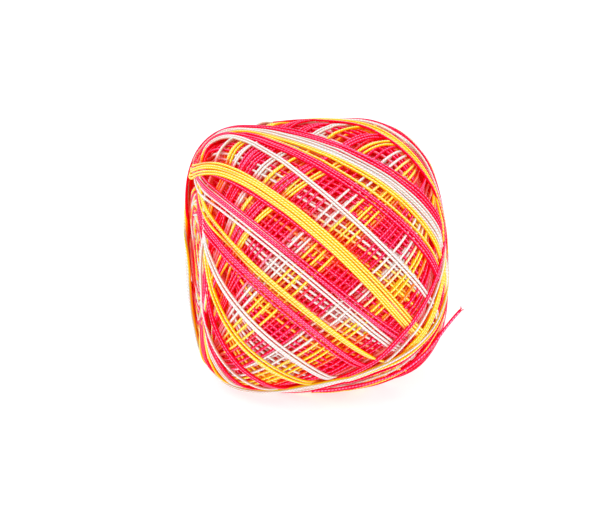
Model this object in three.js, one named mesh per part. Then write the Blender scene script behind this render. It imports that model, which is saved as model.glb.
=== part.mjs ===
import * as THREE from 'three';
import { mergeVertices } from 'three/addons/utils/BufferGeometryUtils.js';

// A machine-wound ball of variegated cotton thread, lying on its side. Millimetres, +Z up.
// X is the axis that the ball was wound round, the front of the ball faces -Y, and the
// origin is the middle of the small flat spot that it rests on.

// Driving sizes of the thread and of the wound form, measured over the outer turns.
const THREAD = 0.55;
const BARREL_RADIUS = 24;
const HALF_WIDTH = 22.4;

// The wound form is squarer at its left shoulder than at its right one.
const LEFT_POWER = 5;
const RIGHT_POWER = 3.6;
const FLAT_DEPTH = 0.75;
const CENTRE_HEIGHT = BARREL_RADIUS - FLAT_DEPTH;

// A band stands this much above the crossing turns under it, with a sloping edge.
const BAND_RISE = 0.5;
const BAND_EDGE = 0.35;

// Each end is drawn in to a shallow hollow round the winding axis.
const HOLLOW_RADIUS = 10;
const HOLLOW_DEPTH = 1.4;
const END_FACE_START = 0.8;

// The outline along the axis is sampled finely, then divided into equal steps.
const OUTLINE_SAMPLES = 4000;
const OUTLINE_STEPS = 53;
const ROUND_STEPS = 108;

// The bands of the last layer. Each one is a full turn round the ball. turn is the angle round
// the axis of its plane's normal, from the top towards the front, and lean is the angle between
// that normal and the axis. drift is how far a turn lies to the side of the ball's middle.
const BANDS = [
  { name: 'side rose', turn: 98, lean: 56.5, drift: -4, threads: 4 },
  { name: 'foot white', turn: 74, lean: 53, drift: -5, threads: 2 },
  { name: 'foot rose', turn: 62, lean: 53, drift: -6, threads: 3 },
  { name: 'lowest rose', turn: 46, lean: 47.7, drift: -6.7, threads: 3 },
  { name: 'lowest gold', turn: 34, lean: 47.7, drift: -5.9, threads: 3 },
  { name: 'lower white', turn: 12.5, lean: 44.7, drift: -7.7, threads: 3 },
  { name: 'lower rose', turn: -7.7, lean: 46.6, drift: -7.4, threads: 4 },
  { name: 'lower gold', turn: -6, lean: 47.9, drift: -4.8, threads: 3 },
  { name: 'white beside rose', turn: -24, lean: 47.4, drift: -5.2, threads: 3 },
  { name: 'rose', turn: -18.7, lean: 49.3, drift: -2.4, threads: 3 },
  { name: 'rose beside gold', turn: -40.5, lean: 48.5, drift: -4.3, threads: 2 },
  { name: 'gold', turn: -50, lean: 46.9, drift: -6.1, threads: 5 },
  { name: 'upper white', turn: -30, lean: 44.1, drift: 5.3, threads: 2 },
  { name: 'upper rose', turn: -48, lean: 48.4, drift: 4.8, threads: 4 },
  { name: 'upper gold', turn: -61, lean: 51.8, drift: 4.2, threads: 2 },
  { name: 'top white', turn: -59, lean: 52.5, drift: 6.2, threads: 4 },
  { name: 'top rose', turn: -57, lean: 54, drift: 8.4, threads: 3 },
  { name: 'crest', turn: -97, lean: 50.1, drift: 5.8, threads: 3 },
  { name: 'right rose', turn: -108.7, lean: 49.9, drift: 7.8, threads: 2 },
  { name: 'outer rose', turn: -135, lean: 57.8, drift: -8, threads: 3 },
  { name: 'rim', turn: -154, lean: 63.2, drift: -7.3, threads: 5 },
];

// Turns of the earlier layers pass nearer to the axis, and show only on the two end faces.
const END_LAYERS = [
  { turns: 10, lean: 58, threads: 3 },
  { turns: 7, lean: 66, threads: 3 },
];

// A turn keeps its drift along each side of the ball and loses it over the ends.
const DRIFT_SHARPNESS = 2.5;

// The free end of the thread: along the lower front, up the right shoulder, and off the ball.
const LOOSE_END_ROUTE = [
  [-3.0, -15.1, 4.2],
  [-0.9, -15.2, 4.3],
  [1.0, -15.5, 4.5],
  [2.9, -15.9, 4.9],
  [4.7, -16.4, 5.4],
  [6.5, -17.0, 6.0],
  [8.3, -17.6, 6.8],
  [10.1, -18.1, 7.6],
  [11.8, -18.6, 8.6],
  [13.4, -18.9, 9.6],
  [15.0, -18.9, 10.8],
  [16.5, -18.6, 12.0],
  [17.9, -18.1, 13.3],
  [19.2, -17.6, 14.7],
  [20.4, -17.3, 16.2],
  [21.6, -17.2, 17.7],
  [22.9, -17.0, 19.1],
];
const LOOSE_END_STEPS = 34;
const LOOSE_END_SIDES = 8;

const AXIS = new THREE.Vector3(1, 0, 0);

function aroundAxis(degrees) {
  const angle = THREE.MathUtils.degToRad(degrees);
  return new THREE.Vector3(0, -Math.sin(angle), Math.cos(angle));
}

function windingTurn(turn, lean, drift, threads) {
  const tilt = THREE.MathUtils.degToRad(lean);
  const normal = AXIS.clone().multiplyScalar(Math.cos(tilt));
  normal.addScaledVector(aroundAxis(turn), Math.sin(tilt));
  return { normal, side: aroundAxis(turn + 90), drift, halfWidth: (threads * THREAD) / 2 };
}

const OUTER_TURNS = BANDS.map((band) => windingTurn(band.turn, band.lean, band.drift, band.threads));
const END_TURNS = END_LAYERS.flatMap((layer) =>
  Array.from({ length: layer.turns }, (_, index) =>
    windingTurn((360 * index) / layer.turns, layer.lean, 0, layer.threads)));

// How much one turn raises the surface at a point given from the ball's middle.
function riseOfTurn(turn, point) {
  const facing = point.dot(turn.side) / point.length();
  const drift = (turn.drift * Math.tanh(DRIFT_SHARPNESS * facing)) / Math.tanh(DRIFT_SHARPNESS);
  const away = Math.abs(point.dot(turn.normal) - drift);
  return BAND_RISE * (1 - THREE.MathUtils.smoothstep(away, turn.halfWidth, turn.halfWidth + BAND_EDGE));
}

function riseAt(point) {
  const onEndFace = Math.abs(point.x) > END_FACE_START * HALF_WIDTH;
  const turns = onEndFace ? [...OUTER_TURNS, ...END_TURNS] : OUTER_TURNS;
  return Math.max(...turns.map((turn) => riseOfTurn(turn, point)));
}

// The rounded barrel under the bands, as distance from its middle at an angle from the axis.
function barrelReach(angle) {
  const along = Math.abs(Math.cos(angle)) / (HALF_WIDTH - BAND_RISE);
  const across = Math.sin(angle) / (BARREL_RADIUS - BAND_RISE);
  const power = Math.cos(angle) > 0 ? LEFT_POWER : RIGHT_POWER;
  return (along ** power + across ** power) ** (-1 / power);
}

function barrelOutline() {
  const points = [];
  for (let i = 0; i <= OUTLINE_SAMPLES; i += 1) {
    const angle = (Math.PI * i) / OUTLINE_SAMPLES;
    const across = i === 0 || i === OUTLINE_SAMPLES ? 0 : Math.sin(angle);
    points.push(new THREE.Vector2(barrelReach(angle) * across, -barrelReach(angle) * Math.cos(angle)));
  }
  const lengths = [0];
  for (let i = 1; i < points.length; i += 1) {
    lengths.push(lengths[i - 1] + points[i].distanceTo(points[i - 1]));
  }
  const total = lengths[lengths.length - 1];
  const steps = Array.from({ length: OUTLINE_STEPS + 1 }, (_, step) => {
    const target = (total * step) / OUTLINE_STEPS;
    return points[lengths.findIndex((length) => length >= target - 1e-9)];
  });
  return steps;
}

function hollowDepth(point) {
  const fromAxis = Math.hypot(point.y, point.z) / HOLLOW_RADIUS;
  return fromAxis >= 1 ? 0 : HOLLOW_DEPTH * (1 - fromAxis ** 2) ** 2;
}

function closedGeometry(geometry) {
  geometry.deleteAttribute('normal');
  geometry.deleteAttribute('uv');
  return mergeVertices(geometry, 1e-4);
}

// Each four-sided patch is split along the diagonal that follows the bands.
function splitAlongBands(indices, rises) {
  const faces = [];
  const keep = (a, b, c) => {
    if (a !== b && b !== c && c !== a) faces.push(a, b, c);
  };
  for (let i = 0; i < indices.length; i += 6) {
    const [a, b, d, c] = indices.slice(i, i + 4);
    if (Math.abs(rises[a] - rises[c]) < Math.abs(rises[b] - rises[d])) {
      keep(a, b, c);
      keep(a, c, d);
    } else {
      keep(a, b, d);
      keep(c, d, b);
    }
  }
  return faces;
}

function woundBall() {
  const lathe = new THREE.LatheGeometry(barrelOutline(), ROUND_STEPS);
  lathe.rotateZ(-Math.PI / 2);
  const geometry = closedGeometry(lathe);
  const position = geometry.getAttribute('position');
  const point = new THREE.Vector3();
  const rises = [];
  for (let i = 0; i < position.count; i += 1) {
    point.fromBufferAttribute(position, i);
    const rise = riseAt(point);
    point.setLength(point.length() + rise);
    point.x -= Math.sign(point.x) * hollowDepth(point);
    point.z = Math.max(point.z + CENTRE_HEIGHT, 0);
    position.setXYZ(i, point.x, point.y, point.z);
    rises.push(rise);
  }
  geometry.setIndex(splitAlongBands(Array.from(geometry.getIndex().array), rises));
  return geometry;
}

function threadSection() {
  const section = new THREE.Shape();
  for (let i = 0; i < LOOSE_END_SIDES; i += 1) {
    const angle = (2 * Math.PI * i) / LOOSE_END_SIDES;
    const corner = [(THREAD / 2) * Math.cos(angle), (THREAD / 2) * Math.sin(angle)];
    if (i === 0) section.moveTo(...corner);
    else section.lineTo(...corner);
  }
  section.closePath();
  return section;
}

function looseEnd() {
  const route = new THREE.CatmullRomCurve3(LOOSE_END_ROUTE.map((point) => new THREE.Vector3(...point)));
  return closedGeometry(new THREE.ExtrudeGeometry(threadSection(), {
    steps: LOOSE_END_STEPS,
    bevelEnabled: false,
    extrudePath: route,
  }));
}

function part(name, geometry, color) {
  const material = new THREE.MeshStandardMaterial({ color, roughness: 0.75, metalness: 0 });
  const mesh = new THREE.Mesh(geometry, material);
  mesh.name = name;
  return mesh;
}

const yarnBall = new THREE.Group();
yarnBall.add(part('ball', woundBall(), 0xe8507a));
yarnBall.add(part('loose_end', looseEnd(), 0xe0245e));

export default yarnBall;
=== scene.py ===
"""A machine-wound ball of melange cotton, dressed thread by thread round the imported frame."""

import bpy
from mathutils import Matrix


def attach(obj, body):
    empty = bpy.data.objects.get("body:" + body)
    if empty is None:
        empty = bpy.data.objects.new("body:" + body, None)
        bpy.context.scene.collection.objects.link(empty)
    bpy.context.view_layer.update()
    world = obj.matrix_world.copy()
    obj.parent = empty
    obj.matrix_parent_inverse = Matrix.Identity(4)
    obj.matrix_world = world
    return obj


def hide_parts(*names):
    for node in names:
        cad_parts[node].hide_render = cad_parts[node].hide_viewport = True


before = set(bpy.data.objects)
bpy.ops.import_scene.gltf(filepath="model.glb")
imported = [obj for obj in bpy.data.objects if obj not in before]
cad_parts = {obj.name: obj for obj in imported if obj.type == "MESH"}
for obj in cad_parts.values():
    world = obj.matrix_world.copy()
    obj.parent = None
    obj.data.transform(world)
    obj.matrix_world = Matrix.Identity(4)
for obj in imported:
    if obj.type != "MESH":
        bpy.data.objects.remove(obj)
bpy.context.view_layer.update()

import logging
import math
from dataclasses import dataclass, field
from enum import Enum

import bmesh
import bpy
import numpy as np
from mathutils import Matrix, Vector

logging.basicConfig(level=logging.INFO, format="%(message)s")
log = logging.getLogger("yarn_ball")

# Sizes are in millimetres until a mesh is made, which is in metres.
MM = 0.001
THREAD = 0.55
WOUND_THREAD = 0.45
SEED = 20
NEAR_ZERO = 1e-9


class Tone(Enum):
    """The three dyed stretches of the thread, as places on the dye's cycle."""

    ROSE = 0.20
    GOLD = 0.56
    WHITE = 0.83


@dataclass(frozen=True)
class Barrel:
    """The wound form over its outer threads, lying on its side with its axis along X."""

    radius: float = 23.45
    half_width: float = 21.1
    left_power: float = 4.6
    right_power: float = 3.45
    centre_height: float = 23.25
    hollow_radius: float = 10.0
    hollow_depth: float = 1.4

    def _powers(self, points: np.ndarray) -> np.ndarray:
        """How square the barrel's shoulder is at each point, more at its left than at its right."""
        return np.where(points[:, 0] < 0, self.left_power, self.right_power)

    def reach(self, points: np.ndarray) -> np.ndarray:
        """Scale that puts points on the barrel's surface.

        Args:
            points: Vectors from the ball's middle, n by 3.

        Returns:
            One factor for each vector.
        """
        across = np.hypot(points[:, 1], points[:, 2]) / self.radius
        along = np.abs(points[:, 0]) / self.half_width
        power = self._powers(points)
        return (across**power + along**power) ** (-1 / power)

    def normals(self, points: np.ndarray) -> np.ndarray:
        """Outward unit normals of the barrel at surface points."""
        across = np.hypot(points[:, 1], points[:, 2])
        power = self._powers(points)
        radial = (across / self.radius) ** (power - 1) / self.radius
        axial = (np.abs(points[:, 0]) / self.half_width) ** (power - 1) / self.half_width
        safe = np.maximum(across, NEAR_ZERO)
        slopes = np.stack(
            [np.sign(points[:, 0]) * axial, radial * points[:, 1] / safe, radial * points[:, 2] / safe], 1
        )
        return slopes / np.linalg.norm(slopes, axis=1)[:, None]

    def placed(self, points: np.ndarray, offsets: np.ndarray, thickness: float) -> np.ndarray:
        """Moves surface points along their normals, draws in the ends and rests the ball on the floor.

        Args:
            points: Surface points from the ball's middle.
            offsets: How far each point lies outside the surface.
            thickness: Radius of what is placed, which stays above the floor.

        Returns:
            Points in millimetres in the part's frame.
        """
        moved = points + self.normals(points) * offsets[:, None]
        from_axis = np.minimum(np.hypot(moved[:, 1], moved[:, 2]) / self.hollow_radius, 1.0)
        moved[:, 0] -= np.sign(moved[:, 0]) * self.hollow_depth * (1 - from_axis**2) ** 2
        moved[:, 2] = np.maximum(moved[:, 2] + self.centre_height, thickness)
        return moved


@dataclass(frozen=True)
class Band:
    """Parallel turns of one tone, laid side by side in the last layer.

    A turn lies in a plane. turn is the angle of that plane's normal round the axis, from the top
    towards the front, and lean is the angle between the normal and the axis, both in degrees.
    drift is how far the turn lies to the side of the ball's middle.
    """

    name: str
    turn: float
    lean: float
    drift: float
    threads: int
    tone: Tone


@dataclass(frozen=True)
class Pass:
    """A run of turns under the last layer, each one a step further round the axis."""

    name: str
    turns: int
    lean: float
    step: float
    wander: float


# The last layer in the order it was wound.
LAST_LAYER = (
    Band("side_gold", 104, 58.0, -4.0, 2, Tone.GOLD),
    Band("side_rose", 96, 56.0, -4.0, 4, Tone.ROSE),
    Band("foot_gold", 84, 53.5, -4.5, 2, Tone.GOLD),
    Band("foot_white", 74, 53.0, -5.0, 2, Tone.WHITE),
    Band("foot_rose", 62, 53.0, -6.0, 3, Tone.ROSE),
    Band("first_white", 47, 54.2, -7.6, 2, Tone.WHITE),
    Band("lowest_rose", 46, 47.7, -6.7, 3, Tone.ROSE),
    Band("lowest_gold", 34, 47.7, -5.9, 3, Tone.GOLD),
    Band("lower_white", 12.5, 44.7, -7.7, 3, Tone.WHITE),
    Band("lower_rose", -7.7, 46.6, -7.4, 4, Tone.ROSE),
    Band("lower_gold", -6, 47.9, -4.8, 3, Tone.GOLD),
    Band("white_by_rose", -24, 47.4, -5.2, 3, Tone.WHITE),
    Band("rose", -18.7, 49.3, -2.4, 3, Tone.ROSE),
    Band("rose_by_gold", -40.5, 48.5, -4.3, 2, Tone.ROSE),
    Band("gold", -50, 46.9, -6.1, 5, Tone.GOLD),
    Band("upper_white", -30, 44.1, 5.3, 2, Tone.WHITE),
    Band("upper_rose", -48, 48.4, 4.8, 4, Tone.ROSE),
    Band("gold_by_rose", -48, 48.3, 6.3, 1, Tone.GOLD),
    Band("upper_gold", -61, 51.8, 4.2, 2, Tone.GOLD),
    Band("top_white", -59, 52.5, 6.2, 4, Tone.WHITE),
    Band("top_rose", -57, 54.0, 8.4, 3, Tone.ROSE),
    Band("crest", -97, 50.1, 5.8, 3, Tone.GOLD),
    Band("far_white", -103, 50.0, 6.9, 1, Tone.WHITE),
    Band("right_rose", -108.7, 49.9, 7.8, 2, Tone.ROSE),
    Band("outer_red", -133.5, 57.8, -8.0, 1, Tone.ROSE),
    Band("outer_gold", -136.5, 57.9, -7.4, 1, Tone.GOLD),
    Band("outer_rose", -142, 58.1, -8.2, 1, Tone.ROSE),
    Band("rim_white", -144.2, 58.8, -6.7, 1, Tone.WHITE),
    Band("rim_rose", -151, 62.8, -7.3, 2, Tone.ROSE),
    Band("rim_cream", -154, 63.4, -7.6, 1, Tone.WHITE),
    Band("rim_gold", -155.6, 63.6, -7.4, 2, Tone.GOLD),
    Band("last_white", -157, 63.8, -7.3, 1, Tone.WHITE),
)

# The turns under it, inner ones first. The first ones pass nearest to the axis and cross on the ends.
EARLIER_PASSES = (
    *(Pass("end", 44, lean, 8.2, 1.0) for lean in (86.0, 82.0, 77.5, 73.0, 68.0, 63.0, 58.0)),
    Pass("deep", 73, 54.0, 4.907, 0.6),
    Pass("under", 73, 52.5, 4.907, 0.6),
    Pass("lower", 73, 51.5, 4.907, 0.4),
    Pass("crossing", 73, 50.5, 4.907, 0.4),
)


def smooth_step(values: np.ndarray) -> np.ndarray:
    """Eases values between 0 and 1."""
    eased = np.clip(values, 0.0, 1.0)
    return eased * eased * (3 - 2 * eased)


@dataclass(frozen=True)
class Wobble:
    """A slow random wander of the thread: its shortest wave in turns, and its size."""

    wave: float
    size: float


@dataclass
class Course:
    """The thread's whole path, as its winding angles at each sample."""

    samples_per_turn: int = 480
    fitting_rounds: int = 4
    drift_sharpness: float = 2.5
    first_gap: float = 6.0
    side_pitch: float = 0.48
    switch_turns: float = 0.3
    switch_jitter: float = 0.13
    dye_turns: float = 9.17
    dye_switch: float = 0.12
    hidden_side: tuple = (0.13, 0.89, -0.43)
    step_wobble: Wobble = Wobble(0.9, 0.1)
    lean_wobble: Wobble = Wobble(0.8, 1.0)
    drift_wobble: Wobble = Wobble(0.7, 0.4)
    side_wobble: Wobble = Wobble(0.35, 0.07)
    band_side_wobble: Wobble = Wobble(0.3, 0.1)
    band_turn_wobble: Wobble = Wobble(0.45, 0.25)
    least_knots: int = 4
    columns: dict[str, np.ndarray] = field(default_factory=dict)

    def wound(self) -> "Course":
        """Fills in the columns for all passes and bands, inner ones first."""
        rng = np.random.default_rng(SEED)
        parts = [self._passes(rng), self._bands(rng)]
        self.columns = {key: np.concatenate([part[key] for part in parts]) for key in parts[0]}
        count = len(self.columns["turn"])
        self.columns["phase"] = np.pi - 2 * np.pi * np.arange(count) / self.samples_per_turn
        return self

    def _waves(self, rng: np.random.Generator, count: int, wobble: Wobble) -> np.ndarray:
        """Slow random waves about zero.

        Args:
            rng: Seeded generator.
            count: Number of samples.
            wobble: The waves' length and size.

        Returns:
            One value for each sample.
        """
        knots = max(self.least_knots, int(count / self.samples_per_turn / wobble.wave))
        values = rng.normal(size=knots + 3)
        place = np.linspace(1, knots, count)
        low = np.floor(place).astype(int)
        part = place - low
        before, start, end, after = (values[np.clip(low + k, 0, knots + 2)] for k in (-1, 0, 1, 2))
        bend = (end - before) * 0.5
        exit_bend = (after - start) * 0.5
        cube = 2 * start - 2 * end + bend + exit_bend
        square = -3 * start + 3 * end - 2 * bend - exit_bend
        return (((cube * part + square) * part + bend) * part + start) * wobble.size

    def _passes(self, rng: np.random.Generator) -> dict[str, np.ndarray]:
        """Columns of the turns under the last layer."""
        rows = []
        swept = sum(row.turns * row.step for row in EARLIER_PASSES)
        turn = LAST_LAYER[0].turn + self.first_gap + swept
        dye = 0.0
        for row in EARLIER_PASSES:
            count = row.turns * self.samples_per_turn
            done = np.arange(count) / self.samples_per_turn
            rows.append({
                "turn": turn - row.step * done + self._waves(rng, count, self.step_wobble) * row.step,
                "lean": row.lean + self._waves(rng, count, self.lean_wobble) * row.wander,
                "drift": self._waves(rng, count, self.drift_wobble) * row.wander,
                "side": self._waves(rng, count, self.side_wobble),
                "dye": dye + done / self.dye_turns,
            })
            turn -= row.step * row.turns
            dye += row.turns / self.dye_turns
        return {key: np.concatenate([row[key] for row in rows]) for key in rows[0]}

    def _bands(self, rng: np.random.Generator) -> dict[str, np.ndarray]:
        """Columns of the last layer, each band easing into the next on the ball's far side."""
        count = sum(band.threads for band in LAST_LAYER) * self.samples_per_turn
        done = np.arange(count) / self.samples_per_turn
        first = LAST_LAYER[0]
        columns = {
            "turn": np.full(count, float(first.turn)),
            "lean": np.full(count, first.lean),
            "drift": np.full(count, first.drift),
            "side": (done - first.threads / 2) * self.side_pitch,
            "dye": np.full(count, first.tone.value),
        }
        start = 0.0
        dye = first.tone.value
        for before, after in zip(LAST_LAYER, LAST_LAYER[1:]):
            start += before.threads
            switch = start + self._hidden_place(before, after) + rng.uniform(-1, 1) * self.switch_jitter
            share = smooth_step((done - switch) / self.switch_turns + 0.5)
            dye_step = (after.tone.value - dye) % 1.0
            dye_share = smooth_step((done - switch) / self.dye_switch + 0.5)
            columns["turn"] += (after.turn - before.turn) * share
            columns["lean"] += (after.lean - before.lean) * share
            columns["drift"] += (after.drift - before.drift) * share
            columns["side"] -= (before.threads + after.threads) / 2 * self.side_pitch * share
            columns["dye"] += dye_step * dye_share
            dye += dye_step
        columns["side"] += self._waves(rng, count, self.band_side_wobble)
        columns["turn"] += self._waves(rng, count, self.band_turn_wobble)
        return columns

    def _hidden_place(self, before: Band, after: Band) -> float:
        """Where in the turn between two bands the thread is furthest back.

        Args:
            before: The band that ends.
            after: The band that starts.

        Returns:
            Turns from the point opposite the band's front.
        """
        _, front, beside = self._frame(
            np.radians([(before.turn + after.turn) / 2]), np.radians([(before.lean + after.lean) / 2])
        )
        hidden = math.atan2(beside[0] @ self.hidden_side, front[0] @ self.hidden_side)
        return (math.pi - hidden + math.pi) % (2 * math.pi) / (2 * math.pi) - 0.5

    def _frame(self, turn: np.ndarray, lean: np.ndarray) -> tuple[np.ndarray, np.ndarray, np.ndarray]:
        """Directions of the turns' planes: their normals, their fronts, and beside those."""
        normal = np.stack([np.cos(lean), -np.sin(lean) * np.sin(turn), np.sin(lean) * np.cos(turn)], 1)
        front = np.stack([np.zeros_like(turn), -np.cos(turn), -np.sin(turn)], 1)
        return normal, front, np.cross(normal, front)

    def surface_points(self, barrel: Barrel) -> np.ndarray:
        """Lays the course on the barrel.

        Args:
            barrel: The wound form.

        Returns:
            One surface point for each sample, from the ball's middle.
        """
        turn, lean = np.radians(self.columns["turn"]), np.radians(self.columns["lean"])
        normal, front, beside = self._frame(turn, lean)
        phase = self.columns["phase"]
        facing = np.cos(phase)
        drift = self.columns["drift"] * np.tanh(self.drift_sharpness * facing)
        offset = drift / math.tanh(self.drift_sharpness) + self.columns["side"]
        points = facing[:, None] * front + np.sin(phase)[:, None] * beside
        points *= barrel.reach(points)[:, None]
        for _ in range(self.fitting_rounds):
            points -= (np.einsum("ij,ij->i", points, normal) - offset)[:, None] * normal
            points *= barrel.reach(points)[:, None]
        return points


@dataclass
class Pile:
    """How high the thread has piled up over the barrel, on a grid round its middle."""

    rows: int = 300
    columns: int = 620
    rise: float = 0.32
    reach_across: float = 0.13
    run_on: int = 40
    least_bend: float = 0.02
    ease: int = 3
    settle_reach: int = 5
    last_reach: int = 7
    smoothing_rounds: int = 3
    top_reach: int = 3

    def __post_init__(self) -> None:
        """Starts with an empty grid."""
        self.height = np.zeros(self.rows * self.columns)
        self.layers = np.zeros(self.rows * self.columns, dtype=int)

    def _spots(self, points: np.ndarray) -> tuple[np.ndarray, np.ndarray]:
        """Each point's place on the grid in rows and columns, by its direction from the ball's middle."""
        tilt = np.arccos(np.clip(points[:, 0] / np.linalg.norm(points, axis=1), -1, 1))
        round_axis = np.arctan2(points[:, 1], points[:, 2]) % (2 * np.pi)
        return tilt / np.pi * self.rows, round_axis / (2 * np.pi) * self.columns

    def cells(self, points: np.ndarray) -> np.ndarray:
        """Grid cell of each point."""
        row, column = self._spots(points)
        row = np.minimum(row.astype(int), self.rows - 1)
        return row * self.columns + np.minimum(column.astype(int), self.columns - 1)

    def _taut(self, support: np.ndarray, steps: np.ndarray, bend: np.ndarray) -> np.ndarray:
        """Height of a taut thread that spans from one high support to the next.

        Args:
            support: Height of what lies under the thread at each sample.
            steps: Distance from each sample to the one before.
            bend: How fast the barrel curves away under the thread.

        Returns:
            The thread's height at each sample.
        """
        place = np.cumsum(steps)
        fall = np.cumsum(np.cumsum(bend * steps) * steps)
        level = support - fall
        kept = []
        for index, (here, high) in enumerate(zip(place, level)):
            while len(kept) > 1:
                first, last = kept[-2], kept[-1]
                gain = (level[last] - level[first]) * (here - place[first])
                if gain > (high - level[first]) * (place[last] - place[first]):
                    break
                kept.pop()
            kept.append(index)
        return np.interp(place, place[kept], level[kept]) + fall

    def _eased(self, values: np.ndarray, reach: int) -> np.ndarray:
        """Running mean over a few samples each way."""
        padded = np.pad(values, reach, mode="edge")
        kernel = np.ones(2 * reach + 1) / (2 * reach + 1)
        return np.convolve(padded, kernel, mode="valid")

    def lay(
        self,
        points: np.ndarray,
        outward: np.ndarray,
        across: np.ndarray,
        turn_samples: int,
        rests: list[int],
    ) -> tuple[np.ndarray, np.ndarray]:
        """Lays the thread turn by turn on what lies there already.

        Args:
            points: Surface points of the whole course.
            outward: The barrel's normals there.
            across: Unit vectors across the thread along the surface.
            turn_samples: Samples laid at a time.
            rests: Turns after which the pile settles to an even height.

        Returns:
            The height of the thread's underside at each sample, and how many turns cover it.
        """
        ahead = np.gradient(points, axis=0)
        steps = np.linalg.norm(ahead, axis=1)
        bend = -np.einsum("ij,ij->i", np.gradient(ahead, axis=0), outward) / steps**2
        spread = np.array([-2, -1, 0, 1, 2]) * self.reach_across
        cells = np.stack([self.cells(points + across * side) for side in spread], 1)
        middle = cells[:, 1:4]
        under = np.zeros(len(points))
        laid = np.zeros_like(cells)
        margin = self.run_on
        for turn, start in enumerate(range(0, len(points), turn_samples)):
            low, high = max(0, start - margin), min(len(points), start + turn_samples + margin)
            support = self.height[middle[low:high]].max(axis=1)
            support = self._taut(support, steps[low:high], np.maximum(bend[low:high], self.least_bend))
            support = self._eased(support, self.ease)
            end = min(len(points), start + turn_samples)
            under[start:end] = support[start - low : end - low]
            here = middle[start:end]
            np.maximum.at(self.height, here, (under[start:end] + self.rise)[:, None])
            self.layers[np.unique(here)] += 1
            laid[start:end] = self.layers[cells[start:end]]
            if turn + 1 in rests:
                under[:end] -= self.settle(points[:end], self.settle_reach)
        under -= self.settle(points, self.last_reach)
        covered = (self.layers[cells] - laid).min(axis=1)
        return under, covered

    def settle(self, points: np.ndarray, reach: int) -> np.ndarray:
        """Takes the pile's smoothed height off the grid.

        Args:
            points: Surface points to sample it at.
            reach: Cells each way that the height is smoothed over.

        Returns:
            What was taken off at each point.
        """
        grid = self.height.reshape(self.rows, self.columns).copy()
        for _ in range(self.smoothing_rounds):
            padded = np.pad(grid, ((0, 0), (reach, reach)), mode="wrap")
            grid = sum(padded[:, k : k + self.columns] for k in range(2 * reach + 1)) / (2 * reach + 1)
            padded = np.pad(grid, ((reach, reach), (0, 0)), mode="edge")
            grid = sum(padded[k : k + self.rows] for k in range(2 * reach + 1)) / (2 * reach + 1)
        self.height -= grid.ravel()
        return self.sampled(grid, points)

    def depth_below_top(self, points: np.ndarray, under: np.ndarray) -> np.ndarray:
        """How far each sample lies under the highest turns round it.

        Args:
            points: Surface points of the whole course.
            under: The height of the thread's underside at each sample.

        Returns:
            One depth for each sample, in millimetres.
        """
        top = self.height.reshape(self.rows, self.columns)
        for shift in range(1, self.top_reach + 1):
            beside = np.maximum(np.roll(top, shift, axis=1), np.roll(top, -shift, axis=1))
            padded = np.pad(top, ((shift, shift), (0, 0)), mode="edge")
            top = np.maximum(np.maximum(top, beside), np.maximum(padded[: -2 * shift], padded[2 * shift :]))
        return self.sampled(top, points) - under

    def sampled(self, grid: np.ndarray, points: np.ndarray) -> np.ndarray:
        """Values of a grid at points, eased between its cells' middles."""
        row, column = self._spots(points)
        row = np.clip(row - 0.5, 0, self.rows - 1 - NEAR_ZERO)
        column = (column - 0.5) % self.columns
        above, before = row.astype(int), column.astype(int)
        down, along = row - above, column - before
        before %= self.columns
        after = (before + 1) % self.columns
        low = grid[above, before] * (1 - along) + grid[above, after] * along
        high = grid[above + 1, before] * (1 - along) + grid[above + 1, after] * along
        return low * (1 - down) + high * down


def mesh_piece(name: str, shape: bmesh.types.BMesh, finish: bpy.types.Material) -> bpy.types.Object:
    """Turns a bmesh into an object of the scene, and frees it.

    Args:
        name: The object's name.
        shape: The shape, in metres.
        finish: Its material.

    Returns:
        The object, at the origin.
    """
    mesh = bpy.data.meshes.new(name)
    shape.to_mesh(mesh)
    shape.free()
    mesh.materials.append(finish)
    piece = bpy.data.objects.new(name, mesh)
    bpy.context.scene.collection.objects.link(piece)
    return piece


@dataclass(frozen=True)
class Strand:
    """Stretches of thread that become one piece."""

    name: str
    points: np.ndarray
    outward: np.ndarray
    dye: np.ndarray
    depth: np.ndarray
    joined: np.ndarray
    sides: int


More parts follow.
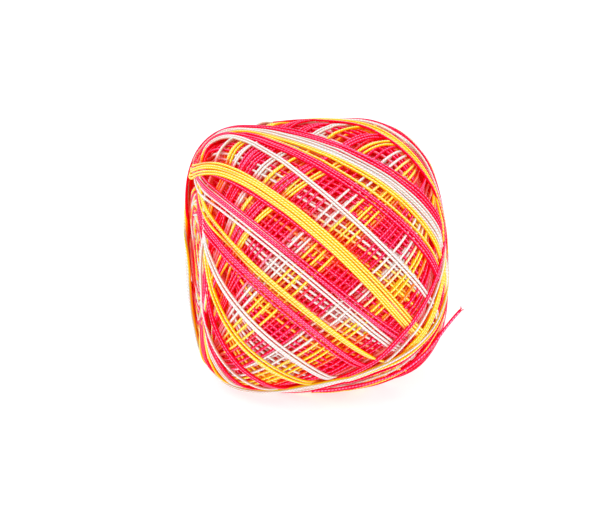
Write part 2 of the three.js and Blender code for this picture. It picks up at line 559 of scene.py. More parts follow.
@dataclass(frozen=True)
class ThreadTube:
    """Turns lines of thread into round tubes that carry their dye and their ply."""

    radius: float

    def node_tree(self) -> bpy.types.NodeTree:
        """Geometry nodes that sweep a circle along each line.

        Returns:
            The node tree. Its Radius and Sides are Socket_1 and Socket_2.
        """
        tree = bpy.data.node_groups.get("thread_tube")
        if tree:
            return tree
        tree = bpy.data.node_groups.new("thread_tube", "GeometryNodeTree")
        tree.interface.new_socket("Geometry", in_out="INPUT", socket_type="NodeSocketGeometry")
        tree.interface.new_socket("Radius", in_out="INPUT", socket_type="NodeSocketFloat")
        tree.interface.new_socket("Sides", in_out="INPUT", socket_type="NodeSocketInt")
        tree.interface.new_socket("Geometry", in_out="OUTPUT", socket_type="NodeSocketGeometry")
        nodes, links = tree.nodes, tree.links
        given, made = nodes.new("NodeGroupInput"), nodes.new("NodeGroupOutput")
        line = nodes.new("GeometryNodeMeshToCurve")
        length = nodes.new("GeometryNodeSplineParameter")
        keep_length = self._store(tree, "lay")
        circle = nodes.new("GeometryNodeCurvePrimitiveCircle")
        place = nodes.new("GeometryNodeInputPosition")
        split = nodes.new("ShaderNodeSeparateXYZ")
        keep_x, keep_y = self._store(tree, "round_x"), self._store(tree, "round_y")
        sweep = nodes.new("GeometryNodeCurveToMesh")
        sweep.inputs["Fill Caps"].default_value = True
        smooth = nodes.new("GeometryNodeSetShadeSmooth")
        # facing: how squarely each point faces along its outward direction, from which the material paints
        # shade on the sides and a highlight on top.
        normal = nodes.new("GeometryNodeInputNormal")
        outward = nodes.new("GeometryNodeInputNamedAttribute")
        outward.data_type = "FLOAT_VECTOR"
        outward.inputs["Name"].default_value = "outward"
        facing = nodes.new("ShaderNodeVectorMath")
        facing.operation = "DOT_PRODUCT"
        keep_facing = self._store(tree, "facing")
        links.new(given.outputs["Geometry"], line.inputs["Mesh"])
        links.new(line.outputs["Curve"], keep_length.inputs["Geometry"])
        links.new(length.outputs["Length"], keep_length.inputs["Value"])
        links.new(given.outputs["Radius"], circle.inputs["Radius"])
        links.new(given.outputs["Sides"], circle.inputs["Resolution"])
        links.new(place.outputs["Position"], split.inputs["Vector"])
        links.new(circle.outputs["Curve"], keep_x.inputs["Geometry"])
        links.new(split.outputs["X"], keep_x.inputs["Value"])
        links.new(keep_x.outputs["Geometry"], keep_y.inputs["Geometry"])
        links.new(split.outputs["Y"], keep_y.inputs["Value"])
        links.new(keep_length.outputs["Geometry"], sweep.inputs["Curve"])
        links.new(keep_y.outputs["Geometry"], sweep.inputs["Profile Curve"])
        links.new(sweep.outputs["Mesh"], smooth.inputs["Geometry"])
        links.new(normal.outputs["Normal"], facing.inputs[0])
        links.new(outward.outputs["Attribute"], facing.inputs[1])
        links.new(smooth.outputs["Geometry"], keep_facing.inputs["Geometry"])
        links.new(facing.outputs["Value"], keep_facing.inputs["Value"])
        links.new(keep_facing.outputs["Geometry"], made.inputs["Geometry"])
        return tree

    def _store(self, tree: bpy.types.NodeTree, name: str) -> bpy.types.Node:
        """A node that keeps a number on each point under a name."""
        node = tree.nodes.new("GeometryNodeStoreNamedAttribute")
        node.data_type = "FLOAT"
        node.domain = "POINT"
        node.inputs["Name"].default_value = name
        return node

    def build(self, strand: Strand, finish: bpy.types.Material) -> bpy.types.Object:
        """Makes one piece of a strand.

        Args:
            strand: Points in millimetres, and which of them are joined to the next.
            finish: The thread's material.

        Returns:
            The piece, a closed mesh at the origin.
        """
        shape = bmesh.new()
        dye_layer = shape.verts.layers.float.new("dye")
        depth_layer = shape.verts.layers.float.new("depth")
        outward_layer = shape.verts.layers.float_vector.new("outward")
        used = strand.joined.copy()
        used[1:] |= strand.joined[:-1]
        made = {}
        for index in np.flatnonzero(used):
            vertex = shape.verts.new(strand.points[index] * MM)
            vertex[dye_layer] = strand.dye[index]
            vertex[depth_layer] = strand.depth[index]
            vertex[outward_layer] = strand.outward[index]
            made[index] = vertex
        for index in np.flatnonzero(strand.joined):
            shape.edges.new((made[index], made[index + 1]))
        carrier = mesh_piece(strand.name + "_lines", shape, finish)
        lines = carrier.data
        modifier = carrier.modifiers.new("thread_tube", "NODES")
        modifier.node_group = self.node_tree()
        modifier["Socket_1"] = self.radius * MM
        modifier["Socket_2"] = strand.sides
        bpy.context.view_layer.update()
        evaluated = carrier.evaluated_get(bpy.context.evaluated_depsgraph_get())
        mesh = bpy.data.meshes.new_from_object(evaluated)
        mesh.name = strand.name
        mesh.materials.clear()
        mesh.materials.append(finish)
        bpy.data.objects.remove(carrier)
        bpy.data.meshes.remove(lines)
        piece = bpy.data.objects.new(strand.name, mesh)
        bpy.context.scene.collection.objects.link(piece)
        return piece


def add_group_socket(
    tree: bpy.types.NodeTree, name: str, way: str, kind: str, value: float | None = None
) -> None:
    """Adds a named input or output to a shader group.

    Args:
        tree: The group's node tree.
        name: The socket's name.
        way: INPUT or OUTPUT.
        kind: Float or Color.
        value: The input's value where nothing is linked.
    """
    socket = tree.interface.new_socket(name, in_out=way, socket_type=f"NodeSocket{kind}")
    if value is not None:
        socket.default_value = value


def math_node(tree: bpy.types.NodeTree, operation: str, *values: object) -> bpy.types.NodeSocket:
    """A Math node on numbers or sockets.

    Args:
        tree: The tree it goes into.
        operation: The node's operation.
        values: Its inputs in order, each a number or a socket.

    Returns:
        The node's output.
    """
    node = tree.nodes.new("ShaderNodeMath")
    node.operation = operation
    for socket, value in zip(node.inputs, values):
        if isinstance(value, bpy.types.NodeSocket):
            tree.links.new(value, socket)
        else:
            socket.default_value = value
    return node.outputs["Value"]


def kept_number(tree: bpy.types.NodeTree, name: str) -> bpy.types.NodeSocket:
    """The named number that the tubes carry."""
    node = tree.nodes.new("ShaderNodeAttribute")
    node.attribute_name = name
    return node.outputs["Fac"]


def raise_surface(
    tree: bpy.types.NodeTree, height: bpy.types.NodeSocket, strength: float, depth: float
) -> None:
    """Bumps a material's surface by a height.

    Args:
        tree: The material's node tree.
        height: The height, from 0 to 1.
        strength: The bump's strength.
        depth: How deep it is, in millimetres.
    """
    bump = tree.nodes.new("ShaderNodeBump")
    bump.inputs["Strength"].default_value = strength
    bump.inputs["Distance"].default_value = depth * MM
    tree.links.new(height, bump.inputs["Height"])
    tree.links.new(bump.outputs["Normal"], tree.nodes["Principled BSDF"].inputs["Normal"])


def dyed(red: int, green: int, blue: int) -> tuple[float, float, float, float]:
    """A dye's colour on the nodes' linear scale, from its usual 0 to 255 numbers."""
    return tuple(((c / 255 + 0.055) / 1.055) ** 2.4 for c in (red, green, blue)) + (1.0,)


@dataclass(frozen=True)
class DyeRun:
    """The thread's three dyes and how they run into each other, as a shader group."""

    rose: tuple = dyed(252, 2, 90)
    poppy: tuple = dyed(254, 50, 40)
    amber: tuple = dyed(254, 160, 36)
    gold: tuple = dyed(254, 236, 50)
    cream: tuple = dyed(250, 238, 196)
    white: tuple = dyed(234, 241, 242)
    blush: tuple = dyed(250, 170, 186)
    blotch_scale: float = 60.0
    blotch_detail: float = 2.0
    blotch_start: float = 0.45
    blotch_gain: float = 2.0

    def group(self) -> bpy.types.NodeTree:
        """Builds the group once.

        Returns:
            The group, with Run and Fade as inputs and Color as its output.
        """
        tree = bpy.data.node_groups.get("dye_run")
        if tree:
            return tree
        tree = bpy.data.node_groups.new("dye_run", "ShaderNodeTree")
        add_group_socket(tree, "Run", "INPUT", "Float", 0.0)
        add_group_socket(tree, "Fade", "INPUT", "Float", 0.05)
        add_group_socket(tree, "Color", "OUTPUT", "Color")
        given, made = tree.nodes.new("NodeGroupInput"), tree.nodes.new("NodeGroupOutput")
        ramp = tree.nodes.new("ShaderNodeValToRGB")
        stops = (
            (0.00, self.rose), (0.29, self.rose), (0.34, self.poppy), (0.37, self.amber),
            (0.40, self.gold), (0.67, self.gold), (0.70, self.cream), (0.73, self.white),
            (0.95, self.white), (0.975, self.blush), (1.00, self.rose),
        )
        elements = ramp.color_ramp.elements
        elements[0].position, elements[0].color = stops[0]
        elements[1].position, elements[1].color = stops[-1]
        for position, color in stops[1:-1]:
            elements.new(position).color = color
        tree.links.new(math_node(tree, "FRACT", given.outputs["Run"]), ramp.inputs["Fac"])
        blotch = tree.nodes.new("ShaderNodeTexNoise")
        blotch.noise_dimensions = "1D"
        blotch.inputs["Scale"].default_value = self.blotch_scale
        blotch.inputs["Detail"].default_value = self.blotch_detail
        tree.links.new(given.outputs["Run"], blotch.inputs["W"])
        pale = math_node(tree, "SUBTRACT", blotch.outputs["Fac"], self.blotch_start)
        pale = math_node(tree, "MULTIPLY", pale, given.outputs["Fade"])
        pale = math_node(tree, "MAXIMUM", math_node(tree, "MULTIPLY", pale, self.blotch_gain), 0.0)
        mix = tree.nodes.new("ShaderNodeMix")
        mix.data_type = "RGBA"
        mix.inputs["B"].default_value = self.white
        tree.links.new(pale, mix.inputs["Factor"])
        tree.links.new(ramp.outputs["Color"], mix.inputs["A"])
        tree.links.new(mix.outputs["Result"], made.inputs["Color"])
        return tree


@dataclass(frozen=True)
class PlyTwist:
    """Two plies twisted round each other, as a height round and along the thread."""

    pitch: float = 0.62
    ridge_power: float = 0.6
    fibre_scale: float = 9000.0
    fibre_height: float = 0.35

    def group(self) -> bpy.types.NodeTree:
        """Builds the group once.

        Returns:
            The group, with Pitch as its input and Height and Groove as outputs.
        """
        tree = bpy.data.node_groups.get("ply_twist")
        if tree:
            return tree
        tree = bpy.data.node_groups.new("ply_twist", "ShaderNodeTree")
        add_group_socket(tree, "Pitch", "INPUT", "Float", self.pitch * MM)
        add_group_socket(tree, "Height", "OUTPUT", "Float")
        add_group_socket(tree, "Groove", "OUTPUT", "Float")
        given, made = tree.nodes.new("NodeGroupInput"), tree.nodes.new("NodeGroupOutput")
        lay, across, up = (kept_number(tree, name) for name in ("lay", "round_x", "round_y"))
        turns = math_node(tree, "DIVIDE", lay, given.outputs["Pitch"])
        phase = math_node(tree, "MULTIPLY_ADD", turns, math.pi, math_node(tree, "ARCTAN2", up, across))
        wave = math_node(tree, "COSINE", phase)
        ridge = math_node(tree, "POWER", math_node(tree, "ABSOLUTE", wave), self.ridge_power)
        place = tree.nodes.new("ShaderNodeTexCoord")
        fibres = tree.nodes.new("ShaderNodeTexNoise")
        fibres.inputs["Scale"].default_value = self.fibre_scale
        fibres.inputs["Detail"].default_value = 1.0
        tree.links.new(place.outputs["Object"], fibres.inputs["Vector"])
        rough = math_node(tree, "MULTIPLY", fibres.outputs["Fac"], self.fibre_height)
        tree.links.new(math_node(tree, "ADD", ridge, rough), made.inputs["Height"])
        tree.links.new(math_node(tree, "SUBTRACT", 1.0, ridge), made.inputs["Groove"])
        return tree


@dataclass(frozen=True)
class ThreadShade:
    """Painted shade and painted highlight in the thread's colour: darker, redder colour on the tube's
    sides, in the ply's grooves and on turns that lie under others, and a paler painted highlight on the
    crown of each ply's ridge.
    """

    # Painted shade: the tube's sides and the ply's grooves take a darker, redder crease colour, the sides
    # more as they face less outward.
    side_shade_start: float = 0.9
    side_shade_end: float = 0.1
    groove_shade_share: float = 0.9
    crease_shade_tint: tuple = (1.0, 0.6, 0.42, 1.0)
    crease_shade_gamma: float = 1.7
    # Painted shade: turns that lie deeper than shallow under the outermost ones are mixed towards deep red,
    # most at deep.
    deep_shade_colour: tuple = (1.0, 0.003, 0.001, 1.0)
    # Painted highlight: the top of each ply's ridge is lightened towards a pale pink.
    painted_highlight: tuple = (1.0, 0.6, 1.0, 1.0)
    highlight_start: float = 0.82
    highlight_power: float = 2.0
    highlight_share: float = 0.64
    shallow: float = 1.0
    deep: float = 2.3
    deepest_shade_share: float = 0.8

    def group(self) -> bpy.types.NodeTree:
        """Builds the group once.

        Returns:
            The group, with Color, Facing, Depth and Groove as inputs and Color as its output.
        """
        tree = bpy.data.node_groups.get("thread_shade")
        if tree:
            return tree
        tree = bpy.data.node_groups.new("thread_shade", "ShaderNodeTree")
        add_group_socket(tree, "Color", "INPUT", "Color")
        for name in ("Facing", "Depth", "Groove"):
            add_group_socket(tree, name, "INPUT", "Float", 0.0)
        add_group_socket(tree, "Color", "OUTPUT", "Color")
        given, made = tree.nodes.new("NodeGroupInput"), tree.nodes.new("NodeGroupOutput")
        facing, groove = given.outputs["Facing"], given.outputs["Groove"]
        # Painted shade on the tube's sides and in the ply's grooves.
        side = self._ramped(tree, facing, self.side_shade_start, self.side_shade_end)
        crease_shade = math_node(tree, "MAXIMUM", side, math_node(tree, "MULTIPLY", groove, self.groove_shade_share))
        # Painted deep-red shade on turns that lie under others.
        depth = self._ramped(tree, given.outputs["Depth"], self.shallow, self.deep)
        depth = math_node(tree, "MULTIPLY", depth, self.deepest_shade_share)
        # Painted highlight on the top of each ply's ridge.
        top = self._ramped(tree, facing, self.highlight_start, 1.0)
        ridge = math_node(tree, "POWER", math_node(tree, "SUBTRACT", 1.0, groove), self.highlight_power)
        painted_highlight = math_node(tree, "MULTIPLY", math_node(tree, "MULTIPLY", top, ridge), self.highlight_share)
        darkened_for_shade = tree.nodes.new("ShaderNodeGamma")
        darkened_for_shade.inputs["Gamma"].default_value = self.crease_shade_gamma
        tree.links.new(given.outputs["Color"], darkened_for_shade.inputs["Color"])
        crease_shade_colour = self._mixed(tree, "MULTIPLY", 1.0, darkened_for_shade.outputs["Color"], self.crease_shade_tint)
        crease_shaded = self._mixed(tree, "MIX", crease_shade, given.outputs["Color"], crease_shade_colour)
        deep_shaded = self._mixed(tree, "MIX", depth, crease_shaded, self.deep_shade_colour)
        highlighted = self._mixed(tree, "LIGHTEN", painted_highlight, deep_shaded, self.painted_highlight)
        tree.links.new(highlighted, made.inputs["Color"])
        return tree

    def _ramped(
        self, tree: bpy.types.NodeTree, value: bpy.types.NodeSocket, low: float, high: float
    ) -> bpy.types.NodeSocket:
        """A share from 0 where the value is low to 1 where it is high."""
        node = tree.nodes.new("ShaderNodeMapRange")
        node.interpolation_type = "SMOOTHSTEP"
        node.inputs["From Min"].default_value = low
        node.inputs["From Max"].default_value = high
        tree.links.new(value, node.inputs["Value"])
        return node.outputs["Result"]

    def _mixed(
        self,
        tree: bpy.types.NodeTree,
        blend: str,
        share: object,
        color: bpy.types.NodeSocket,
        other: object,
    ) -> bpy.types.NodeSocket:
        """Mixes a colour with another by a share, each of them fixed or a socket."""
        node = tree.nodes.new("ShaderNodeMix")
        node.data_type = "RGBA"
        node.blend_type = blend
        tree.links.new(color, node.inputs["A"])
        for socket, value in ((node.inputs["Factor"], share), (node.inputs["B"], other)):
            if isinstance(value, bpy.types.NodeSocket):
                tree.links.new(value, socket)
            else:
                socket.default_value = value
        return node.outputs["Result"]


@dataclass(frozen=True)
class ThreadFinish:
    """Mercerised cotton: dyed in three colours, two plies, a soft sheen, with painted shade and a painted
    highlight in its colour and a faint painted glow.
    """

    name: str
    fade: float = 0.05
    roughness: float = 0.5
    specular: float = 0.06
    scatter: float = 0.6
    scatter_reach: tuple = (1.0, 0.4, 0.4)
    scatter_depth: float = 0.35
    bump: float = 0.8
    ply_depth: float = 0.09
    # Painted glow: the thread's shaded colour also shines faintly as emission, lifting the shade between
    # turns.
    painted_glow: float = 0.04

    def material(self) -> bpy.types.Material:
        """Builds the thread's material.

        Returns:
            The material, made once under its name.
        """
        material = bpy.data.materials.get(self.name)
        if material:
            return material
        material = bpy.data.materials.new(self.name)
        material.use_nodes = True
        tree = material.node_tree
        surface = tree.nodes["Principled BSDF"]
        surface.inputs["Roughness"].default_value = self.roughness
        surface.inputs["Specular IOR Level"].default_value = self.specular
        surface.inputs["Subsurface Weight"].default_value = self.scatter
        surface.inputs["Subsurface Radius"].default_value = self.scatter_reach
        surface.inputs["Subsurface Scale"].default_value = self.scatter_depth * MM
        dyes = self._placed(tree, DyeRun().group())
        dyes.inputs["Fade"].default_value = self.fade
        tree.links.new(kept_number(tree, "dye"), dyes.inputs["Run"])
        twist = self._placed(tree, PlyTwist().group())
        shade = self._placed(tree, ThreadShade().group())
        tree.links.new(dyes.outputs["Color"], shade.inputs["Color"])
        tree.links.new(kept_number(tree, "facing"), shade.inputs["Facing"])
        tree.links.new(kept_number(tree, "depth"), shade.inputs["Depth"])
        tree.links.new(twist.outputs["Groove"], shade.inputs["Groove"])
        # The base colour carries the painted shade and painted highlight, and the same colour is the
        # painted glow of the emission.
        tree.links.new(shade.outputs["Color"], surface.inputs["Base Color"])
        tree.links.new(shade.outputs["Color"], surface.inputs["Emission Color"])
        surface.inputs["Emission Strength"].default_value = self.painted_glow
        raise_surface(tree, twist.outputs["Height"], self.bump, self.ply_depth)
        return material

    def _placed(self, tree: bpy.types.NodeTree, group: bpy.types.NodeTree) -> bpy.types.Node:
        """A group's node in a material."""
        node = tree.nodes.new("ShaderNodeGroup")
        node.node_tree = group
        return node


@dataclass(frozen=True)
class CoreFinish:
    """The close-wound inner thread, seen only between the turns, coloured all over the deep red of the
    shade there: painted shade.
    """

    name: str = "inner_turns"
    # Painted shade: both colours are the deep red that the shade between the turns shows.
    dark: tuple = dyed(254, 4, 10)
    light: tuple = dyed(254, 16, 20)
    roughness: float = 0.8
    specular: float = 0.1
    turn_scale: float = 700.0
    turn_bend: float = 1.5
    bump: float = 0.5
    turn_depth: float = 0.2

    def material(self) -> bpy.types.Material:
        """Builds the material of the inner turns."""
        material = bpy.data.materials.new(self.name)
        material.use_nodes = True
        tree = material.node_tree
        surface = tree.nodes["Principled BSDF"]
        surface.inputs["Roughness"].default_value = self.roughness
        surface.inputs["Specular IOR Level"].default_value = self.specular
        place = tree.nodes.new("ShaderNodeTexCoord")
        turns = tree.nodes.new("ShaderNodeTexWave")
        turns.bands_direction = "DIAGONAL"
        turns.inputs["Scale"].default_value = self.turn_scale
        turns.inputs["Distortion"].default_value = self.turn_bend
        ramp = tree.nodes.new("ShaderNodeValToRGB")
        ramp.color_ramp.elements[0].color = self.dark
        ramp.color_ramp.elements[1].color = self.light
        tree.links.new(place.outputs["Object"], turns.inputs["Vector"])
        tree.links.new(turns.outputs["Fac"], ramp.inputs["Fac"])
        tree.links.new(ramp.outputs["Color"], surface.inputs["Base Color"])
        raise_surface(tree, turns.outputs["Fac"], self.bump, self.turn_depth)
        return material


@dataclass(frozen=True)
class Cut:
    """One piece's stretch of the course: its samples, every how many are kept, and its tube's sides."""

    name: str
    start: int
    end: int
    step: int
    sides: int


@dataclass
class WoundBall:
    """The ball: its inner turns as one closed body, and the outer ones thread by thread."""

    barrel: Barrel = field(default_factory=Barrel)
    top_level: float = -0.35
    highest: float = 0.35
    highest_last: float = 0.6
    deepest: int = 3
    run_past: int = 3
    band_step: int = 3
    core_depth: float = 2.4
    core_rings: int = 48
    level_step: float = 0.12
    held_passes: int = 5
    finish: ThreadFinish = field(default_factory=lambda: ThreadFinish("melange_thread"))

    def build(self) -> list[bpy.types.Object]:
        """Winds the ball.

        Returns:
            The pieces, the core first.
        """
        course = Course().wound()
        surface = course.surface_points(self.barrel)
        ahead = np.gradient(surface, axis=0)
        outward = self.barrel.normals(surface)
        across = np.cross(outward, ahead)
        across /= np.linalg.norm(across, axis=1)[:, None]
        pile = Pile()
        rests = list(np.cumsum([row.turns for row in EARLIER_PASSES]))
        under, covered = pile.lay(surface, outward, across, course.samples_per_turn, rests)
        offsets = under + WOUND_THREAD / 2 + self.top_level
        levels, most = self._levels(course, len(offsets))
        proud = np.maximum(offsets - levels, 0.0)
        offsets += most * np.log1p(proud / most) - proud
        # This depth drives the painted deep-red shade of turns that lie under others.
        depth = pile.depth_below_top(surface, under)
        placed = self.barrel.placed(surface, offsets, WOUND_THREAD / 2)
        shown = covered < self.deepest
        for shift in range(1, self.run_past + 1):
            shown[shift:] |= shown[:-shift]
            shown[:-shift] |= shown[shift:]
        pieces = [self._core()]
        for strand in self._strands(course, placed, outward, depth, shown):
            pieces.append(ThreadTube(WOUND_THREAD / 2).build(strand, self.finish.material()))
        return pieces

    def _levels(self, course: Course, count: int) -> tuple[np.ndarray, np.ndarray]:
        """Where each sample starts to be held down, and how far it may still rise from there."""
        levels = np.zeros(count)
        most = np.full(count, self.highest_last)
        ends = np.cumsum([row.turns for row in EARLIER_PASSES]) * course.samples_per_turn
        most[: ends[-1]] = self.highest
        for order, end in enumerate(reversed(ends)):
            levels[:end] = -min(order + 1, self.held_passes) * self.level_step
        return levels, most

    def _strands(
        self, course: Course, placed: np.ndarray, outward: np.ndarray, depth: np.ndarray, shown: np.ndarray
    ) -> list[Strand]:
        """Cuts the course into pieces by layer, each as fine as it shows.

        Args:
            course: The thread's path.
            placed: Its points in the part's frame.
            outward: The barrel's normals there.
            depth: How far each point lies under the outermost turns.
            shown: Which samples show.

        Returns:
            The strands from the outside in.
        """
        done = np.cumsum([row.turns for row in EARLIER_PASSES]) * course.samples_per_turn
        ends = {row.name: end for row, end in zip(EARLIER_PASSES, done)}
        last = ends["crossing"]
        half = last + (len(placed) - last) // 2
        cuts = (
            Cut("last_layer", half, len(placed), self.band_step, 8),
            Cut("first_bands", last, half + self.band_step, self.band_step, 8),
            Cut("crossing_turns", ends["lower"], last, 4, 7),
            Cut("lower_turns", ends["under"], ends["lower"], 4, 6),
            Cut("under_turns", ends["deep"], ends["under"], 5, 6),
            Cut("deep_turns", ends["end"], ends["deep"], 5, 5),
            Cut("end_turns_outer", ends["end"] // 2, ends["end"], 5, 5),
            Cut("end_turns_inner", 0, ends["end"] // 2, 6, 5),
        )
        strands = []
        for cut in cuts:
            picked = np.arange(cut.start, cut.end, cut.step)
            joined = np.zeros(len(picked), dtype=bool)
            joined[:-1] = shown[picked[:-1]] & shown[picked[1:]]
            lines = (placed[picked], outward[picked], course.columns["dye"][picked], depth[picked])
            strands.append(Strand(cut.name, *lines, joined, cut.sides))
        return strands

    def _core(self) -> bpy.types.Object:
        """The closed body inside the modelled turns."""
        shape = bmesh.new()
        rings = self.core_rings
        bmesh.ops.create_uvsphere(shape, u_segments=2 * rings, v_segments=rings, radius=1.0)
        bmesh.ops.rotate(shape, verts=shape.verts, matrix=Matrix.Rotation(math.pi / 2, 3, "Y"))
        directions = np.array([vertex.co for vertex in shape.verts])
        points = directions * self.barrel.reach(directions)[:, None]
        placed = self.barrel.placed(points, np.full(len(points), -self.core_depth), THREAD)
        for vertex, point in zip(shape.verts, placed):
            vertex.co = Vector(point * MM)
            vertex.co.z = max(vertex.co.z, 2 * THREAD * MM)
        bmesh.ops.recalc_face_normals(shape, faces=shape.faces)
        piece = mesh_piece("core_turns", shape, CoreFinish().material())
        piece.data.shade_smooth()
        return piece

    def attach(self, pieces: list[bpy.types.Object]) -> None:
        """Puts the pieces on the part's body, in place of its plain solid."""
        for piece in pieces:
            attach(piece, "root")
            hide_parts("ball")


@dataclass
class LooseEnd:
    """The thread's free end, which leaves the ball at its lower front and points up to the right."""

    route: tuple = (
        (-3.0, -15.1, 4.2), (-0.9, -15.2, 4.3), (1.0, -15.5, 4.5), (2.9, -15.9, 4.9), (4.7, -16.4, 5.4),
        (6.5, -17.0, 6.0), (8.3, -17.6, 6.8), (10.1, -18.1, 7.6), (11.8, -18.6, 8.6), (13.4, -18.9, 9.6),
        (15.0, -18.9, 10.8), (16.5, -18.6, 12.0), (17.9, -18.1, 13.3), (19.2, -17.6, 14.7),
        (20.4, -17.3, 16.2), (21.6, -17.2, 17.7), (22.9, -17.0, 19.1),
    )
    length: float = 31.7
    steps: int = 6
    sides: int = 12
    front: tuple = (0.0, -1.0, 0.0)
    fibres: int = 9
    fibre_sides: int = 5
    fibre_radius: float = 0.05
    fibre_length: float = 0.95
    fibre_shortening: float = 0.5
    fibre_root: float = 0.25
    fibre_inset: float = 0.12
    fibre_spread: float = 0.34
    fibre_points: int = 6
    fibre_turn: float = 2.4
    finish: ThreadFinish = field(default_factory=lambda: ThreadFinish("melange_thread"))

    def centreline(self) -> np.ndarray:
        """The route as a smooth curve, in millimetres."""
        knots = np.array(self.route)
        ahead = np.vstack([knots[:1] * 2 - knots[1:2], knots, knots[-1:] * 2 - knots[-2:-1]])
        parts = np.arange(self.steps) / self.steps
        points = []
        for index in range(1, len(ahead) - 2):
            before, start, end, after = ahead[index - 1 : index + 3]
            for part in parts:
                points.append(0.5 * (
                    2 * start + (end - before) * part + (2 * before - 5 * start + 4 * end - after) * part**2
                    + (3 * start - before - 3 * end + after) * part**3
                ))
        points.append(knots[-1])
        return np.array(points)

    def _rose_tube(
        self, name: str, points: np.ndarray, joined: np.ndarray, radius: float, sides: int
    ) -> bpy.types.Object:
        """Makes tubes of rose thread whose painted highlight faces the front and whose painted shade lies
        on their sides and back.

        Args:
            name: The piece's name.
            points: Points on the lines, in millimetres.
            joined: Which of them are joined to the next.
            radius: The tubes' radius.
            sides: How many sides a tube has.

        Returns:
            The piece.
        """
        # Painted shade and highlight: the front stands in for each tube's outside.
        outward = np.tile(self.front, (len(points), 1))
        dye = np.full(len(points), Tone.ROSE.value)
        strand = Strand(name, points, outward, dye, np.zeros(len(points)), joined, sides)
        return ThreadTube(radius).build(strand, self.finish.material())

    def build(self) -> bpy.types.Object:
        """Makes the free end as one tube of the thread."""
        points = self.centreline()
        joined = np.arange(len(points)) < len(points) - 1
        return self._rose_tube("loose_thread_end", points, joined, THREAD / 2, self.sides)

    def frayed_tip(self) -> bpy.types.Object:
        """Makes the fibres that open out of the cut tip, each a short bent line."""
        line = self.centreline()
        ahead = line[-1] - line[-2]
        ahead /= np.linalg.norm(ahead)
        beside = np.cross(self.front, ahead)
        beside /= np.linalg.norm(beside)
        above = np.cross(ahead, beside)
        parts = np.linspace(0.0, 1.0, self.fibre_points)
        fibres = []
        for index in range(self.fibres):
            turn = index * self.fibre_turn
            outward = math.cos(turn) * beside + math.sin(turn) * above
            length = self.fibre_length * (1 - self.fibre_shortening * (turn % 1.0))
            along = parts * length - self.fibre_root
            away = self.fibre_inset + self.fibre_spread * parts**2
            fibres.append(line[-1] + along[:, None] * ahead + away[:, None] * outward)
        joined = np.tile(parts < 1.0, self.fibres)
        return self._rose_tube(
            "frayed_tip", np.concatenate(fibres), joined, self.fibre_radius, self.fibre_sides
        )

    def attach(self, piece: bpy.types.Object, fray: bpy.types.Object) -> None:
        """Puts the free end and its fibres on the part's body, in place of its plain solid."""
        for part in (piece, fray):
            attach(part, "root")
        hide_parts("loose_end")
        path = [tuple(point * MM) for point in self.centreline()]
        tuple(path[0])


@dataclass(frozen=True)
class Studio:
    """Pale floor, soft light from the upper left, and the camera."""

    ball_centre: tuple = (0.0, 0.0, 23.25)
    camera_side: tuple = (-0.1305, -0.8931, 0.4305)
    camera_distance: float = 800.0
    aim_left: float = 1.78
    aim_up: float = 0.39
    lens: float = 266.7
    sensor: float = 36.0
    clip: tuple = (0.01, 10.0)
    floor_half: float = 4000.0
    floor_base: tuple = (0.5, 0.5, 0.5, 1.0)
    floor_roughness: float = 0.9
    floor_glow: float = 0.7
    light_size: float = 500.0
    key_place: tuple = (-300, -500, 700)
    key_power: float = 2.3
    fill_place: tuple = (500, -500, 350)
    fill_power: float = 0.6
    world_strength: float = 1.0
    bounces: int = 24
    diffuse_bounces: int = 16

    def camera(self) -> None:
        """Places the camera at the photograph's angle and framing."""
        data = bpy.data.cameras.new("camera")
        data.lens = self.lens
        data.sensor_width = self.sensor
        data.clip_start, data.clip_end = self.clip
        camera = bpy.data.objects.new("camera", data)
        bpy.context.scene.collection.objects.link(camera)
        centre = Vector(self.ball_centre) * MM
        back = Vector(self.camera_side).normalized()
        right = Vector((0, 0, 1)).cross(back).normalized()
        up = back.cross(right)
        camera.location = centre + back * self.camera_distance * MM
        aim = centre - right * self.aim_left * MM + up * self.aim_up * MM
        camera.rotation_mode = "QUATERNION"
        camera.rotation_quaternion = (aim - camera.location).to_track_quat("-Z", "Y")
        bpy.context.scene.camera = camera

    def floor(self) -> None:
        """Lays the pale floor."""
        material = bpy.data.materials.new("pale_floor")
        material.use_nodes = True
        surface = material.node_tree.nodes["Principled BSDF"]
        surface.inputs["Base Color"].default_value = self.floor_base
        surface.inputs["Roughness"].default_value = self.floor_roughness
        surface.inputs["Specular IOR Level"].default_value = 0.0
        surface.inputs["Emission Color"].default_value = (1, 1, 1, 1)
        surface.inputs["Emission Strength"].default_value = self.floor_glow
        shape = bmesh.new()
        bmesh.ops.create_grid(shape, x_segments=1, y_segments=1, size=self.floor_half * MM)
        mesh_piece("floor", shape, material)

    def light(self, name: str, place: tuple, power: float) -> None:
        """Adds one square area light aimed at the ball.

        Args:
            name: The light's name.
            place: Where it is, in millimetres.
            power: Its power in watts.
        """
        data = bpy.data.lights.new(name, "AREA")
        data.shape = "SQUARE"
        data.size = self.light_size * MM
        data.energy = power
        lamp = bpy.data.objects.new(name, data)
        bpy.context.scene.collection.objects.link(lamp)
        lamp.location = Vector(place) * MM
        aim = Vector(self.ball_centre) * MM - lamp.location
        lamp.rotation_mode = "QUATERNION"
        lamp.rotation_quaternion = aim.to_track_quat("-Z", "Y")

    def build(self) -> None:
        """Sets up floor, lights, world and camera."""
        self.floor()
        self.light("key_light", self.key_place, self.key_power)
        self.light("fill_light", self.fill_place, self.fill_power)
        world = bpy.data.worlds.new("studio")
        world.use_nodes = True
        background = world.node_tree.nodes["Background"]
        background.inputs["Color"].default_value = (1, 1, 1, 1)
        background.inputs["Strength"].default_value = self.world_strength
        bpy.context.scene.world = world
        bpy.context.scene.view_settings.view_transform = "Standard"
        bpy.context.scene.cycles.max_bounces = self.bounces
        bpy.context.scene.cycles.diffuse_bounces = self.diffuse_bounces
        self.camera()


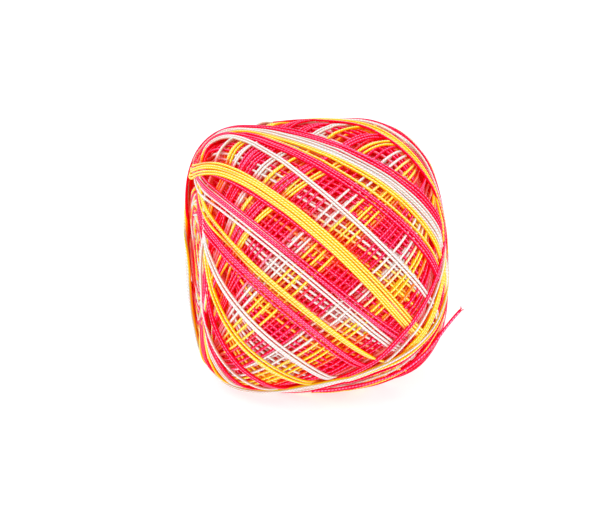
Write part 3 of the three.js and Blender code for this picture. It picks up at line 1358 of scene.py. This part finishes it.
def report(piece: bpy.types.Object) -> None:
    """Logs a piece's size in triangles."""
    faces = sum(len(polygon.vertices) - 2 for polygon in piece.data.polygons)
    log.info("%s: %d triangles", piece.name, faces)


def main() -> None:
    """Builds the ball, its loose end and the studio."""
    Studio().build()
    loose = LooseEnd()
    loose_piece, fray = loose.build(), loose.frayed_tip()
    loose.attach(loose_piece, fray)
    report(loose_piece)
    report(fray)
    ball = WoundBall()
    pieces = ball.build()
    ball.attach(pieces)
    for piece in pieces:
        report(piece)


if __name__ == "__main__":
    main()
